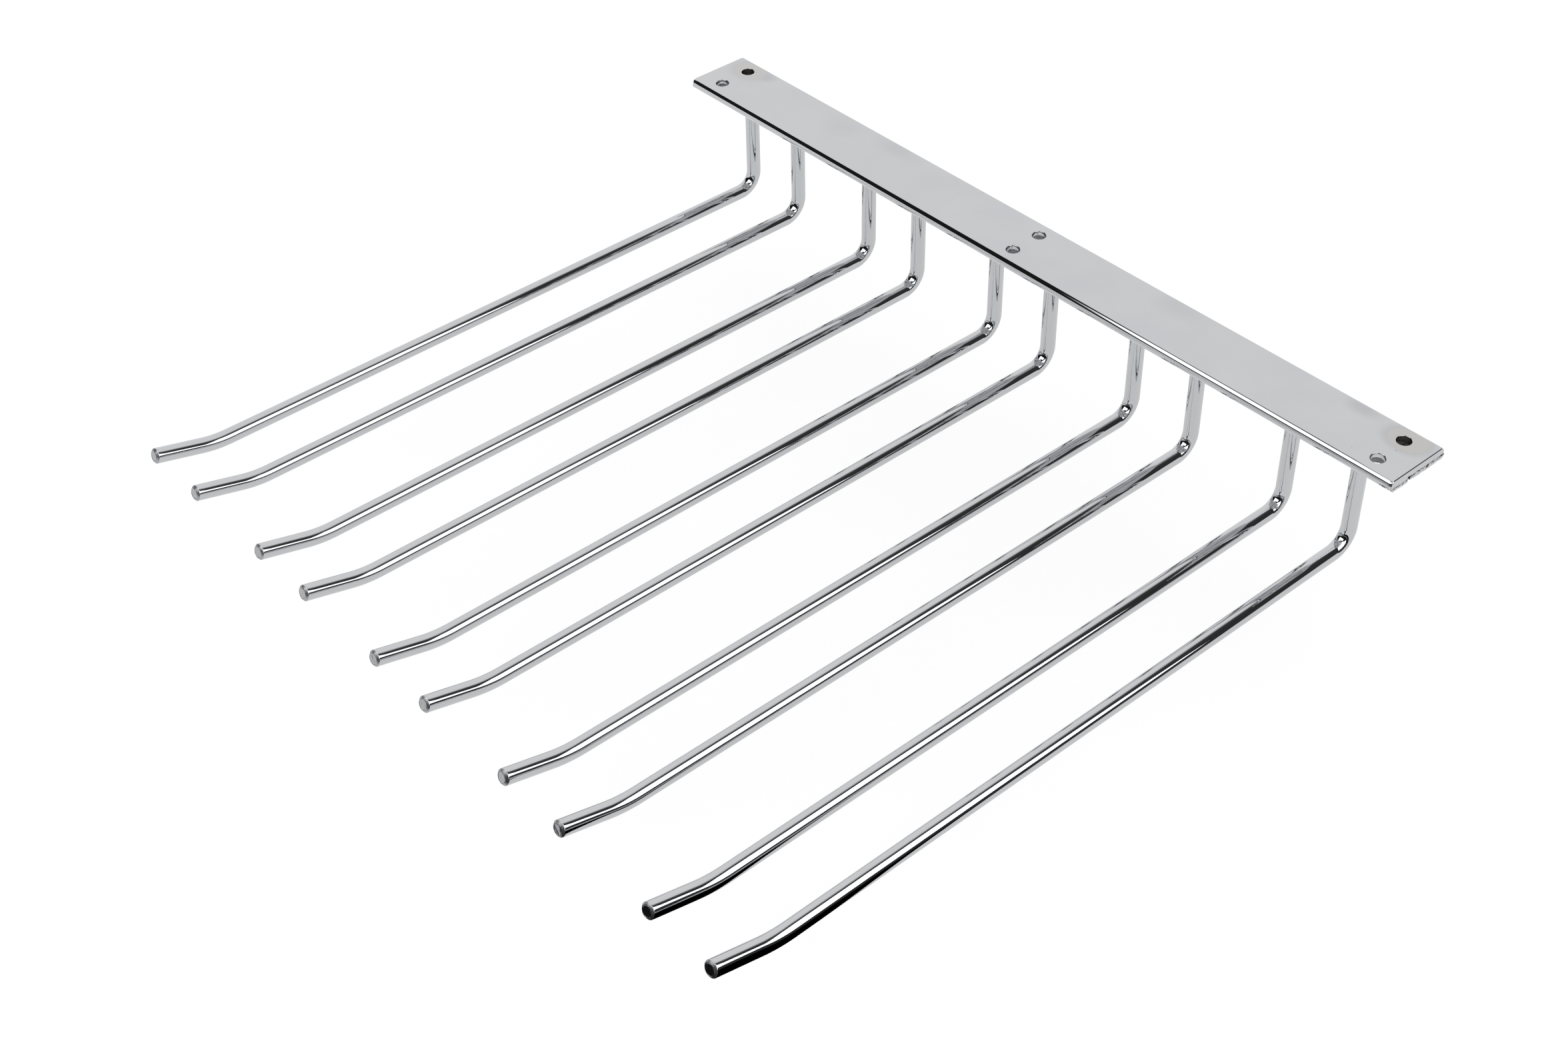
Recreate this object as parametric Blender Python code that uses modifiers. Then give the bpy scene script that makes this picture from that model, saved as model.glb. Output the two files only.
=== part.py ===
"""Hanging wine glass rack in chrome plated steel, modelled in metres with +Z up.

A flat bar is screwed up against the underside of a shelf. Ten round rods are welded to the
bar's underside in five pairs. Each rod drops from the bar, turns through an elbow, runs
forward along -Y and ends in a short tip bent slightly upwards. A stemmed glass slides in
from the front, upside down, with its foot on the two rods of a pair.

The origin is the centre of the bar's top face, which is the face that meets the shelf.
"""
import math

import bmesh
import bpy

# Rails
RAIL_COUNT = 5
RAIL_PITCH = 0.080
ROD_SPACING = 0.032

# Mounting bar
BAR_WIDTH = 0.032
BAR_THICKNESS = 0.0045
BAR_EDGE_RADIUS = 0.0013
BAR_END_ROLL = 0.0006
HOLE_DIAMETER = 0.006
HOLE_RIM_BREAK = 0.0003
HOLE_ROW_SPACING = 0.0155
HOLE_TO_OUTER_ROD = 0.0115
HOLE_TO_BAR_END = 0.0125

# Rods
ROD_DIAMETER = 0.0065
ROD_DROP = 0.053
ROD_REACH = 0.293
ELBOW_RADIUS = 0.009
TIP_LENGTH = 0.028
TIP_BEND_RADIUS = 0.050
TIP_RISE_ANGLE = math.radians(15)
TIP_CHAMFER = 0.0009

# Welds
WELD_LEG = 0.0020
WELD_TOE = 0.0003

# Gap between pieces that touch
TOUCH_GAP = 0.0003

# Run of the cutters past the faces that they cut
CUT_OVERRUN = 0.001

# Roundness
ELBOW_STEPS = 9
TIP_BEND_STEPS = 5
ROD_BEVEL_RESOLUTION = 6
EDGE_SEGMENTS = 4
ROLL_SEGMENTS = 2
HOLE_SIDES = 32
WELD_SIDES = 24
WELD_ARC_STEPS = 4
SHARP_ANGLE = math.radians(35)

# Sizes worked out from the ones above
ROD_RADIUS = ROD_DIAMETER / 2
HOLE_RADIUS = HOLE_DIAMETER / 2
RAILS_SPAN = (RAIL_COUNT - 1) * RAIL_PITCH + ROD_SPACING
BAR_LENGTH = RAILS_SPAN + 2 * (HOLE_TO_OUTER_ROD + HOLE_TO_BAR_END)
BAR_HALF = BAR_LENGTH / 2
HOLE_COLUMN_OFFSET = BAR_HALF - HOLE_TO_BAR_END
ROD_TOP_DEPTH = BAR_THICKNESS + TOUCH_GAP
SIDES = {"left": -1, "right": 1}

# Colours and finishes: linear colour, roughness
BAR_CHROME = ((0.58, 0.58, 0.59), 0.08)
ROD_CHROME = ((0.60, 0.60, 0.61), 0.05)
WELD_CHROME = ((0.50, 0.50, 0.51), 0.22)


def clear_scene():
    """Remove whatever objects the file holds."""
    for old in list(bpy.data.objects):
        bpy.data.objects.remove(old, do_unlink=True)


def new_collection(name):
    """Return an empty collection linked to the scene."""
    collection = bpy.data.collections.new(name)
    bpy.context.scene.collection.children.link(collection)
    return collection


def add_chrome(thing, finish):
    """Give an object a chrome material of its own."""
    colour, roughness = finish
    material = bpy.data.materials.new(thing.name + "_chrome")
    material.use_nodes = True
    shader = material.node_tree.nodes["Principled BSDF"]
    shader.inputs["Base Color"].default_value = (*colour, 1.0)
    shader.inputs["Roughness"].default_value = roughness
    shader.inputs["Metallic"].default_value = 1.0
    thing.data.materials.append(material)


def turned_object(name, profile, sides, collection):
    """Turn a closed or open profile of (radius, height) points about Z.

    The profile runs down its outer side first, so that the faces point outwards.
    """
    mesh = bpy.data.meshes.new(name)
    points = [(radius, 0, height) for radius, height in profile]
    closed = min(radius for radius, height in profile) > 0
    edges = [(i, i + 1) for i in range(len(points) - 1)]
    if closed:
        edges.append((len(points) - 1, 0))
    mesh.from_pydata(points, edges, [])
    thing = bpy.data.objects.new(name, mesh)
    collection.objects.link(thing)
    screw = thing.modifiers.new("turn", "SCREW")
    screw.axis = "Z"
    screw.angle = math.tau
    screw.steps = sides
    screw.render_steps = sides
    screw.use_merge_vertices = True
    screw.merge_threshold = TOUCH_GAP / 10
    return thing


def long_edges(mesh):
    """Edges that run along X."""
    return [e for e in mesh.edges if abs(e.verts[0].co.x - e.verts[1].co.x) > BAR_HALF]


def upper_end_edges(mesh):
    """Edges of the two ends that lie in the upper half, where shearing rolls the rim over."""
    chosen = []
    for edge in mesh.edges:
        ends = {round(v.co.x / BAR_HALF) for v in edge.verts}
        upper = all(v.co.z > -BAR_THICKNESS / 2 for v in edge.verts)
        if upper and ends in ({-1}, {1}):
            chosen.append(edge)
    return chosen


def hole_centres():
    """The six screw holes: one front and one back at each end and at the middle."""
    centres = []
    for column in (-HOLE_COLUMN_OFFSET, 0, HOLE_COLUMN_OFFSET):
        for row in (-HOLE_ROW_SPACING / 2, HOLE_ROW_SPACING / 2):
            centres.append((column, row))
    return centres


def hole_profile():
    """A plain drill with its rims broken, from above the bar to below it."""
    rim = HOLE_RADIUS + HOLE_RIM_BREAK + CUT_OVERRUN
    top = CUT_OVERRUN
    bottom = -BAR_THICKNESS - CUT_OVERRUN
    return [
        (0, top),
        (rim, top),
        (HOLE_RADIUS, -HOLE_RIM_BREAK),
        (HOLE_RADIUS, -BAR_THICKNESS + HOLE_RIM_BREAK),
        (rim, bottom),
        (0, bottom),
    ]


def make_bar(collection, cutters):
    """Flat bar with rolled long edges, sheared ends and six plain screw holes."""
    mesh = bmesh.new()
    bmesh.ops.create_cube(mesh, size=1)
    bmesh.ops.scale(mesh, vec=(BAR_LENGTH, BAR_WIDTH, BAR_THICKNESS), verts=mesh.verts)
    bmesh.ops.translate(mesh, vec=(0, 0, -BAR_THICKNESS / 2), verts=mesh.verts)
    bmesh.ops.bevel(
        mesh,
        geom=long_edges(mesh),
        offset=BAR_EDGE_RADIUS,
        segments=EDGE_SEGMENTS,
        profile=0.5,
        affect="EDGES",
    )
    bmesh.ops.bevel(
        mesh,
        geom=upper_end_edges(mesh),
        offset=BAR_END_ROLL,
        segments=ROLL_SEGMENTS,
        profile=0.5,
        affect="EDGES",
    )
    data = bpy.data.meshes.new("mounting_bar")
    mesh.to_mesh(data)
    mesh.free()
    bar = bpy.data.objects.new("mounting_bar", data)
    collection.objects.link(bar)

    for number, (x, y) in enumerate(hole_centres(), start=1):
        cutter = turned_object(f"screw_hole_{number}", hole_profile(), HOLE_SIDES, cutters)
        cutter.location = (x, y, 0)
        cutter.hide_render = True
        cutter.display_type = "WIRE"
        cut = bar.modifiers.new(cutter.name, "BOOLEAN")
        cut.operation = "DIFFERENCE"
        cut.solver = "EXACT"
        cut.object = cutter
    add_chrome(bar, BAR_CHROME)
    return bar


def arc_points(centre, radius, start, sweep, steps):
    """Points of an arc in the YZ plane, given by its centre, start angle and sweep."""
    cy, cz = centre
    angles = [start + sweep * i / steps for i in range(steps + 1)]
    return [(cy + radius * math.cos(a), cz + radius * math.sin(a)) for a in angles]


def rod_path():
    """Centre line of a rod in the YZ plane, from the weld down, forward and up to the tip.

    Heights are measured from the top end of the rod.
    """
    run_height = ROD_TOP_DEPTH - ROD_DROP
    elbow_centre = (-ELBOW_RADIUS, run_height + ELBOW_RADIUS)
    elbow = arc_points(elbow_centre, ELBOW_RADIUS, 0, -math.pi / 2, ELBOW_STEPS)

    tangent = TIP_BEND_RADIUS * math.tan(TIP_RISE_ANGLE / 2)
    bend_centre = (-ROD_REACH + tangent, run_height + TIP_BEND_RADIUS)
    bend = arc_points(bend_centre, TIP_BEND_RADIUS, -math.pi / 2, -TIP_RISE_ANGLE, TIP_BEND_STEPS)

    def along_tip(distance):
        y = -ROD_REACH - distance * math.cos(TIP_RISE_ANGLE)
        return (y, run_height + distance * math.sin(TIP_RISE_ANGLE))

    tip = [along_tip(TIP_LENGTH - TIP_CHAMFER), along_tip(TIP_LENGTH)]
    return [(0, 0)] + elbow + bend + tip


def make_rod(name, collection):
    """Bent round rod whose last point is drawn in to make the chamfer of its end."""
    path = rod_path()
    data = bpy.data.curves.new(name, "CURVE")
    data.dimensions = "3D"
    data.bevel_depth = ROD_RADIUS
    data.bevel_resolution = ROD_BEVEL_RESOLUTION
    data.use_fill_caps = True
    spline = data.splines.new("POLY")
    spline.points.add(len(path) - 1)
    for point, (y, z) in zip(spline.points, path):
        point.co = (0, y, z, 1)
        point.radius = 1
    spline.points[-1].radius = 1 - TIP_CHAMFER / ROD_RADIUS
    spline.use_smooth = True
    rod = bpy.data.objects.new(name, data)
    collection.objects.link(rod)
    add_chrome(rod, ROD_CHROME)
    return rod


def weld_profile():
    """Ring of weld metal: its face bulges between the bar's underside and the rod."""
    inner = ROD_RADIUS + TOUCH_GAP
    toe = WELD_TOE
    leg = WELD_LEG
    face = []
    for i in range(WELD_ARC_STEPS + 1):
        angle = math.pi / 2 * i / WELD_ARC_STEPS
        radius = inner + toe + (leg - toe) * math.cos(angle)
        height = -toe - (leg - toe) * math.sin(angle)
        face.append((radius, height))
    return [(inner + leg, 0)] + face + [(inner, -leg), (inner, 0)]


def make_weld(name, collection):
    """Weld ring round the top of a rod."""
    weld = turned_object(name, weld_profile(), WELD_SIDES, collection)
    weld.data.shade_smooth()
    weld.data.set_sharp_from_angle(angle=SHARP_ANGLE)
    add_chrome(weld, WELD_CHROME)
    return weld


def make_rail(number, collection):
    """A pair of rods with their welds, on an empty at the middle of the pair."""
    rail = bpy.data.objects.new(f"rail_{number}", None)
    rail.location = ((number - (RAIL_COUNT + 1) / 2) * RAIL_PITCH, 0, -ROD_TOP_DEPTH)
    collection.objects.link(rail)
    for side, sign in SIDES.items():
        rod = make_rod(f"rod_{number}_{side}", collection)
        weld = make_weld(f"weld_{number}_{side}", collection)
        for piece in (rod, weld):
            piece.parent = rail
            piece.location = (sign * ROD_SPACING / 2, 0, 0)
    return rail


def main():
    clear_scene()
    rack = new_collection("hanging_wine_glass_rack")
    cutters = new_collection("cutters")
    make_bar(rack, cutters)
    for number in range(1, RAIL_COUNT + 1):
        make_rail(number, rack)


main()
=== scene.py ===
"""Looks of the hanging wine glass rack: bright chrome on a flat bar, ten bent rods and their welds."""
import math

import bmesh
import bpy
import numpy as np
from mathutils import Matrix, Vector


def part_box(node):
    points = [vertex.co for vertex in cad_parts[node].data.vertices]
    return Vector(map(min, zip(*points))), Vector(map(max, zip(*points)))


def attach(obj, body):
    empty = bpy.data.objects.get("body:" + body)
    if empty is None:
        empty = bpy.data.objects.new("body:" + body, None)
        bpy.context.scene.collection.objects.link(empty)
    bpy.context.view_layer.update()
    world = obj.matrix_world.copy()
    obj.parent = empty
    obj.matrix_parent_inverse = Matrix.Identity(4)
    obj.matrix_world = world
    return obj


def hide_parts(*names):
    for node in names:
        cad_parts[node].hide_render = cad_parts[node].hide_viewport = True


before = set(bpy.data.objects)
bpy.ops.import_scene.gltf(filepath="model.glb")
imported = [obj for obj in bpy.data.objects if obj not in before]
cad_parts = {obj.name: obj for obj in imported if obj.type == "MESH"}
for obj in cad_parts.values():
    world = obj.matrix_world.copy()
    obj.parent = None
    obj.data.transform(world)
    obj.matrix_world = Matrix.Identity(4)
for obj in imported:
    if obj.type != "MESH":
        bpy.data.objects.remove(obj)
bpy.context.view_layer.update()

bl_info = {
    "name": "Hanging wine glass rack",
    "version": (1, 0, 0),
    "blender": (4, 5, 0),
    "location": "3D View > Sidebar > Glass rack",
    "description": "Builds a chrome plated wine glass rack round its fixed CAD frame",
    "category": "Add Mesh",
}

MM = 0.001

# What the frame says: where the bar, the rods and the welds are
BAR_LOW, BAR_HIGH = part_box("mounting_bar")
ROD_NAMES = sorted(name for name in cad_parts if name.startswith("rod_"))
WELD_NAMES = sorted(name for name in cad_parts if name.startswith("weld_"))
ROD_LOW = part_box(ROD_NAMES[0])[0]


# Sizes and colours that a user would change


def length_setting(name, description, default):
    """A setting that holds a length."""
    return bpy.props.FloatProperty(
        name=name, description=description, default=default, unit="LENGTH", precision=5)


def colour_setting(name, description, default):
    """A setting that holds an sRGB hex colour."""
    return bpy.props.StringProperty(name=name, description=description, default=default)


def light_setting(name, description, default):
    """A setting that holds a brightness."""
    return bpy.props.FloatProperty(name=name, description=description, default=default, min=0)


class RackSizes(bpy.types.PropertyGroup):
    """Sizes of the rack's own details, in metres."""

    edge_shoulder: length_setting(
        "Edge shoulder", "Radius where the bar's top face turns into its long side", 1.75 * MM)
    edge_crown: length_setting(
        "Edge crown", "Radius of the slightly crowned middle of the long side", 2.8 * MM)
    edge_foot: length_setting(
        "Edge foot", "Radius where the long side turns into the underside", 1.0 * MM)
    corner_radius: length_setting(
        "Corner radius", "Rounding of the bar's corners in plan; each end takes a share of it", 1.2 * MM)
    end_roll: length_setting(
        "End roll", "How far the shear has rolled over the top edge of the right end", 0.55 * MM)
    end_burr: length_setting("End burr", "How far torn metal hangs below each bar end", 0.4 * MM)
    hole_diameter: length_setting("Hole diameter", "Screw hole through the bar", 6 * MM)
    hole_rim: length_setting(
        "Hole rim", "Soft rounding that the punch leaves at the top of a hole", 0.25 * MM)
    hole_row_spacing: length_setting(
        "Hole rows", "Distance between the front and the back row of holes", 15.5 * MM)
    hole_to_end: length_setting("Hole to end", "Distance from an outer hole to the bar's end", 12.5 * MM)
    elbow_radius: length_setting("Elbow radius", "Radius of a rod's centre line at the elbow", 9 * MM)
    rod_reach: length_setting("Rod reach", "Distance from a rod's drop to the bend of its tip", 293 * MM)
    tip_bend_radius: length_setting(
        "Tip bend radius", "Radius of a rod's centre line where its tip turns up", 50 * MM)
    tip_length: length_setting("Tip length", "Length of the upturned tip", 28 * MM)
    tip_rise: bpy.props.FloatProperty(
        name="Tip rise", description="Angle by which the tip turns up",
        default=math.radians(15), subtype="ANGLE")
    tip_chamfer: length_setting("Tip chamfer", "Chamfer round the end of a rod", 0.9 * MM)


class RackFinish(bpy.types.PropertyGroup):
    """Colours of the finishes, as sRGB hex values, and the polish."""

    chrome: colour_setting("Chrome", "Bright chrome plate", "#C8C9CB")
    chrome_haze: colour_setting("Chrome haze", "Chrome plate where it is a little thinner", "#C4C5C8")
    nickel: colour_setting(
        "Nickel", "Nickel that shows through thin chrome by the hanging holes", "#BEBCB9")
    # This colour is a real stain round the tints, and painted shade in the dim spots on the bar's top
    stain_and_painted_shade: colour_setting("Stain", "Greyer chrome round the tints and in a few dim spots", "#A8A9AD")
    thin_plate: colour_setting(
        "Thin plate", "Dull thin plate inside holes and on the rods' ends", "#8E8F92")
    # In punched holes this dark colour is partly painted shade
    torn_steel: colour_setting("Torn steel", "Darkest plate, in torn holes", "#515256")
    # Bare steel also makes the painted glints on the sheared ends, and the painted shade in the right
    # end's notch
    bare_steel: colour_setting(
        "Bare steel", "Unplated wall of the two holes that the rack hung from", "#413E3A")
    polish: bpy.props.FloatProperty(
        name="Polish", description="Roughness of the brightest chrome", default=0.03, min=0, max=1)


class StudioSettings(bpy.types.PropertyGroup):
    """The photographer's table, panels and lens."""

    floor_drop: length_setting("Floor drop", "Height of the rods above the table", 30 * MM)
    panel_light: light_setting("Panel light", "Brightness of the soft panels, where white is 1", 2.2)
    flag_shade: light_setting("Flag shade", "Brightness of the black flag on the right", 0.04)
    room_shade: light_setting("Room shade", "Brightness of the dark room round the table", 0.015)
    focal_length: bpy.props.FloatProperty(
        name="Focal length", description="Lens, in millimetres on a 36 mm sensor",
        default=53.017, min=1)


def settings():
    """The three groups of settings of the scene."""
    scene = bpy.context.scene
    return scene.rack_sizes, scene.rack_finish, scene.rack_studio


# Mesh and material helpers


def linear(hex_colour):
    """Linear colour of an sRGB hex value."""
    values = [int(hex_colour[i:i + 2], 16) / 255 for i in (1, 3, 5)]
    return (*[v / 12.92 if v <= 0.04045 else ((v + 0.055) / 1.055) ** 2.4 for v in values], 1.0)


def add_node(tree, kind, values=None, links=None):
    """Add a node, set its properties and sockets, link its inputs and return it."""
    made = tree.nodes.new(kind)
    for key, value in (values or {}).items():
        if isinstance(key, str) and hasattr(made, key):
            setattr(made, key, value)
        else:
            made.inputs[key].default_value = value
    for key, source in (links or {}).items():
        tree.links.new(source, made.inputs[key])
    return made


def grid_faces(rows, columns, first=0):
    """Quads of a grid of points stored row by row, as an array of four indices each."""
    corner = first + np.arange(rows - 1)[:, None] * columns + np.arange(columns - 1)[None, :]
    quads = np.stack([corner, corner + 1, corner + columns + 1, corner + columns], axis=-1)
    return quads.reshape(-1, 4)


def closed_mesh(name, patches, material, sharp=40):
    """One object from grids of points: equal points are merged, faces of no area go, normals point out.

    Each patch is (points, uv): points an array rows x columns x 3, uv rows x columns x 2 or None.
    """
    points, quads, uvs, first = [], [], [], 0
    for grid, uv in patches:
        rows, columns = grid.shape[:2]
        points.append(grid.reshape(-1, 3))
        quads.append(grid_faces(rows, columns, first))
        uvs.append(np.zeros((rows * columns, 2)) if uv is None else uv.reshape(-1, 2))
        first += rows * columns
    points, quads, uvs = np.concatenate(points), np.concatenate(quads), np.concatenate(uvs)
    keys = np.round(points / 1e-7).astype(np.int64)
    _, index, inverse = np.unique(keys, axis=0, return_index=True, return_inverse=True)
    inverse = inverse.reshape(-1)
    merged = inverse[quads]
    faces, corner_uv = [], []
    for face, corners in zip(merged.tolist(), quads.tolist()):
        kept = [(v, c) for i, (v, c) in enumerate(zip(face, corners)) if v != face[i - 1]]
        if len({v for v, c in kept}) > 2:
            faces.append([v for v, c in kept])
            corner_uv.extend(c for v, c in kept)
    mesh = bpy.data.meshes.new(name)
    mesh.from_pydata(points[index].tolist(), [], faces)
    layer = mesh.uv_layers.new(name="surface")
    layer.data.foreach_set("uv", uvs[corner_uv].astype(np.float32).ravel())
    shape = bmesh.new()
    shape.from_mesh(mesh)
    bmesh.ops.recalc_face_normals(shape, faces=shape.faces)
    shape.to_mesh(mesh)
    shape.free()
    mesh.shade_smooth()
    mesh.set_sharp_from_angle(angle=math.radians(sharp))
    thing = bpy.data.objects.new(name, mesh)
    bpy.context.scene.collection.objects.link(thing)
    mesh.materials.append(material)
    return thing


def lumps(u, v, size, seed):
    """Smooth noise from -1 to 1: random heights on a lattice of the given size, blended in between."""
    table = np.random.default_rng(seed).uniform(-1, 1, (64, 64))
    gu, gv = u / size, v / size
    iu, iv = np.floor(gu).astype(int), np.floor(gv).astype(int)
    fu, fv = gu - iu, gv - iv
    fu, fv = fu * fu * (3 - 2 * fu), fv * fv * (3 - 2 * fv)
    a, b = table[iu % 64, iv % 64], table[(iu + 1) % 64, iv % 64]
    c, d = table[iu % 64, (iv + 1) % 64], table[(iu + 1) % 64, (iv + 1) % 64]
    return (a * (1 - fu) + b * fu) * (1 - fv) + (c * (1 - fu) + d * fu) * fv


def bell(value, middle, width):
    """Bell curve that is 1 at the middle and fades over the width."""
    return np.exp(-((value - middle) / width) ** 2)


# Finishes


def new_metal(name, roughness=0.5):
    """A metallic material, with its node tree and its shader."""
    material = bpy.data.materials.new(name)
    material.use_nodes = True
    tree = material.node_tree
    shader = tree.nodes["Principled BSDF"]
    shader.inputs["Metallic"].default_value = 1.0
    shader.inputs["Roughness"].default_value = roughness
    return material, tree, shader


def object_place(tree):
    """Object coordinates."""
    return add_node(tree, "ShaderNodeTexCoord").outputs["Object"]


# Sockets of Blender's Mix node when it mixes colours
MIX_FIRST, MIX_SECOND, MIX_RESULT = 6, 7, 2


def noise(tree, place, scale, detail):
    """Noise from 0 to 1, with as many cells to one unit of the coordinates as the scale says."""
    made = add_node(tree, "ShaderNodeTexNoise", {"Scale": scale, "Detail": detail}, {"Vector": place})
    return made.outputs["Fac"]


def mapped(tree, value, start=0.0, end=1.0, low=0.0, high=1.0, kind="LINEAR"):
    """The value carried over from the range between start and end to the one between low and high."""
    made = add_node(
        tree, "ShaderNodeMapRange",
        {"interpolation_type": kind, "From Min": start, "From Max": end, "To Min": low, "To Max": high},
        {"Value": value})
    return made.outputs[0]


def blend(tree, share, first, second):
    """Mix of two colours, each given as linear values or as the output of another node."""
    colours = {MIX_FIRST: first, MIX_SECOND: second}
    plain = {key: colour for key, colour in colours.items() if isinstance(colour, tuple)}
    linked = {key: colour for key, colour in colours.items() if key not in plain}
    made = add_node(tree, "ShaderNodeMix", {"data_type": "RGBA", **plain}, {0: share, **linked})
    return made.outputs[MIX_RESULT]


def relief(tree, height, distance, strength=1.0):
    """Normal of a surface on which a height of 1 stands out by the distance."""
    made = add_node(
        tree, "ShaderNodeBump", {"Strength": strength, "Distance": distance}, {"Height": height})
    return made.outputs[0]


def connect(tree, shader, links):
    """Link the named inputs of a shader."""
    for key, source in links.items():
        tree.links.new(source, shader.inputs[key])


def oval_reach(tree, place, wobble, centre, size):
    """Distance from an oval's middle, where 1 is its rim, made ragged by half of the noise."""
    local = add_node(
        tree, "ShaderNodeMapping",
        {"vector_type": "TEXTURE", "Location": (centre[0] * MM, centre[1] * MM, 0),
         "Scale": (size[0] * MM, size[1] * MM, 1)},
        {"Vector": place})
    reach = add_node(tree, "ShaderNodeVectorMath", {"operation": "LENGTH"}, {0: local.outputs[0]})
    return add_node(
        tree, "ShaderNodeMath", {"operation": "MULTIPLY_ADD", 1: 0.5},
        {0: wobble, 2: reach.outputs["Value"]}).outputs[0]


# Painted shade: greyer spots on the bar's top that stand in for dimmer places in its reflection, in mm:
# middle x and y, half length, half width, strength from 0 to 1
PAINTED_SHADE_SPOTS = (
    (-90, 11, 16, 7, 0.22),
    (-122, 7, 12, 10, 0.12),
    (74, 11, 14, 9, 0.20),
    (165, 12.5, 10, 5.5, 0.42),
    (-177, 11, 6, 5, 0.35),
)
# Tints by the two hanging holes: middle x and y, half length, half width, strength of tint and of rim
TINTS = (
    (-187.3, 9.0, 13.2, 10.4, 0.60, 0.12),
    (188.4, 9.2, 12.6, 9.6, 0.80, 0.26),
)
# Place of an oval's rim on the ramp that colours a tint
TINT_RIM = 0.68
# Dark specks where the plate missed: middle x and y, half size
SPECKS = (
    (189.1, 0.8, 0.20),
    (177.0, -9.6, 0.15),
)


def chrome_on_bar(finish):
    """Nickel and chrome plate, electroplated on hot rolled flat bar.

    To the eye: a mirror with a trace of orange peel and faint clouds, and by the two hanging holes a
    warm oval with a greyer rim, where the chrome is thin and the nickel shows. A few greyer spots are
    painted shade, where the top's reflection is dimmer.
    """
    material, tree, shader = new_metal("nickel_chrome_plate_on_flat_bar")
    place = object_place(tree)
    # Grain of the rolled bar under the plate, about 0.6 mm
    grain = noise(tree, place, 1700.0, 3.0)
    # Clouds of thinner and thicker plate, about 25 mm
    clouds = noise(tree, place, 40.0, 3.0)
    cloudy = mapped(tree, clouds, 0.3, 0.7)
    colour = blend(tree, cloudy, linear(finish.chrome), linear(finish.chrome_haze))
    # Painted shade: grey spots that stand in for dimmer places in the top's reflection
    for x, y, length, width, strength in PAINTED_SHADE_SPOTS:
        reach = oval_reach(tree, place, clouds, (x, y), (length, width))
        shade_mask = mapped(tree, reach, 1.35, 0.35, 0.0, strength, "SMOOTHSTEP")
        colour = blend(tree, shade_mask, colour, linear(finish.stain_and_painted_shade))
    for x, y, length, width, tint, rim in TINTS:
        reach = oval_reach(tree, place, clouds, (x, y), (length, width))
        near = add_node(tree, "ShaderNodeMath", {"operation": "MULTIPLY", 1: TINT_RIM}, {0: reach})
        ramp = add_node(tree, "ShaderNodeValToRGB", {}, {"Fac": near.outputs[0]})
        elements = ramp.color_ramp.elements
        elements[0].position = 0.0
        elements[1].position = 0.86
        elements.new(0.72)
        elements.new(0.60)
        stops = ((finish.nickel, tint), (finish.nickel, tint), (finish.stain_and_painted_shade, rim), (finish.stain_and_painted_shade, 0.0))
        for element, (paint, strength) in zip(elements, stops):
            element.color = (*linear(paint)[:3], strength)
        colour = blend(tree, ramp.outputs["Alpha"], colour, ramp.outputs["Color"])
    for x, y, size in SPECKS:
        reach = oval_reach(tree, place, clouds, (x, y), (size, size))
        colour = blend(tree, mapped(tree, reach, 1.4, 1.0), colour, linear(finish.bare_steel))
    # Orange peel about 6 mm wide, drawn out along the bar as the mill left it
    rolled = add_node(tree, "ShaderNodeMapping", {"Scale": (0.2, 1.0, 1.0)}, {"Vector": place})
    peel = noise(tree, rolled.outputs[0], 160.0, 1.0)
    connect(tree, shader, {
        "Base Color": colour,
        "Roughness": mapped(tree, grain, low=finish.polish * 0.5, high=finish.polish),
        "Normal": relief(tree, peel, 0.002 * MM)})
    return material


def chrome_on_rod(finish):
    """Nickel and chrome plate, electroplated on cold drawn round steel.

    To the eye: a mirror with very shallow lengthwise draw marks and a few pits like pinpricks.
    """
    material, tree, shader = new_metal("nickel_chrome_plate_on_drawn_rod")
    surface = add_node(tree, "ShaderNodeUVMap", {"uv_map": "surface"}).outputs[0]
    # The map counts metres along and round the rod; draw marks are 12 mm long and 0.4 mm wide
    drawn = add_node(tree, "ShaderNodeMapping", {"Scale": (80.0, 2500.0, 1.0)}, {"Vector": surface})
    marks = noise(tree, drawn.outputs[0], 1.0, 2.0)
    # Pits that narrow down from 0.27 mm, about 4 mm apart
    pits = add_node(tree, "ShaderNodeTexVoronoi", {"Scale": 260.0}, {"Vector": surface})
    pit = mapped(tree, pits.outputs["Distance"], 0.0, 0.035, -1.0, 0.0)
    height = add_node(
        tree, "ShaderNodeMath", {"operation": "MULTIPLY_ADD", 1: 0.12}, {0: marks, 2: pit})
    connect(tree, shader, {
        "Base Color": blend(tree, marks, linear(finish.chrome), linear(finish.chrome_haze)),
        "Roughness": mapped(tree, marks, low=finish.polish * 0.6, high=finish.polish * 1.6),
        "Normal": relief(tree, height.outputs[0], 0.01 * MM)})
    return material


def chrome_on_weld(finish):
    """Nickel and chrome plate over a weld bead.

    To the eye: the same mirror on a lumpy ground, duller where the bead is rough.
    """
    material, tree, shader = new_metal("nickel_chrome_plate_on_weld")
    place = object_place(tree)
    # Spatter and ripples about 0.8 mm wide
    ripple = noise(tree, place, 1200.0, 4.0)
    connect(tree, shader, {
        "Base Color": blend(tree, ripple, linear(finish.chrome), linear(finish.chrome_haze)),
        "Roughness": mapped(tree, ripple, low=0.05, high=0.35),
        "Normal": relief(tree, ripple, 0.08 * MM, 0.7)})
    return material


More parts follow.
